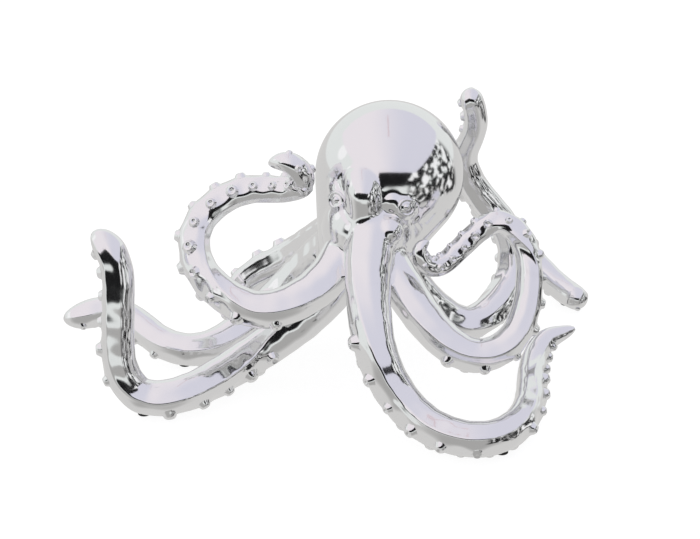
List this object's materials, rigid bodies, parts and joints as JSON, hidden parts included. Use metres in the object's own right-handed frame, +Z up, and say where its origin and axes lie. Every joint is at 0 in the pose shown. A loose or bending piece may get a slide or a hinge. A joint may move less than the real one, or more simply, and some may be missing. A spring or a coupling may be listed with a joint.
{
  "type": "octopus figurine",
  "caption": "Mirror-bright cast octopus ornament with a big rounded head, raised bulging eyes and curling suckered arms, resting on small rubber feet",
  "frame": {"origin": "On the table, under the middle of the outline's bounding box", "axes": "+X to the figure's right in the picture and along its longest extent, -Y towards the viewer and the way the face looks, +Z up"},
  "size_m": [0.345, 0.2477, 0.1653],
  "materials": {
    "plated_resin": "polished",
    "plug_plastic": "matte",
    "dowel_steel": "satin",
    "foot_rubber": "matte"
  },
  "bodies": {
    "root": {"body_casting": "plated_resin", "arm_front": "plated_resin", "arm_front_left": "plated_resin", "arm_left": "plated_resin", "arm_back_left": "plated_resin", "arm_back": "plated_resin", "arm_right": "plated_resin", "arm_back_right": "plated_resin", "arm_rear": "plated_resin", "drain_plug": "plug_plastic", "dowel_pins": "dowel_steel", "rubber_feet": "foot_rubber"}
  },
  "joints": []
}
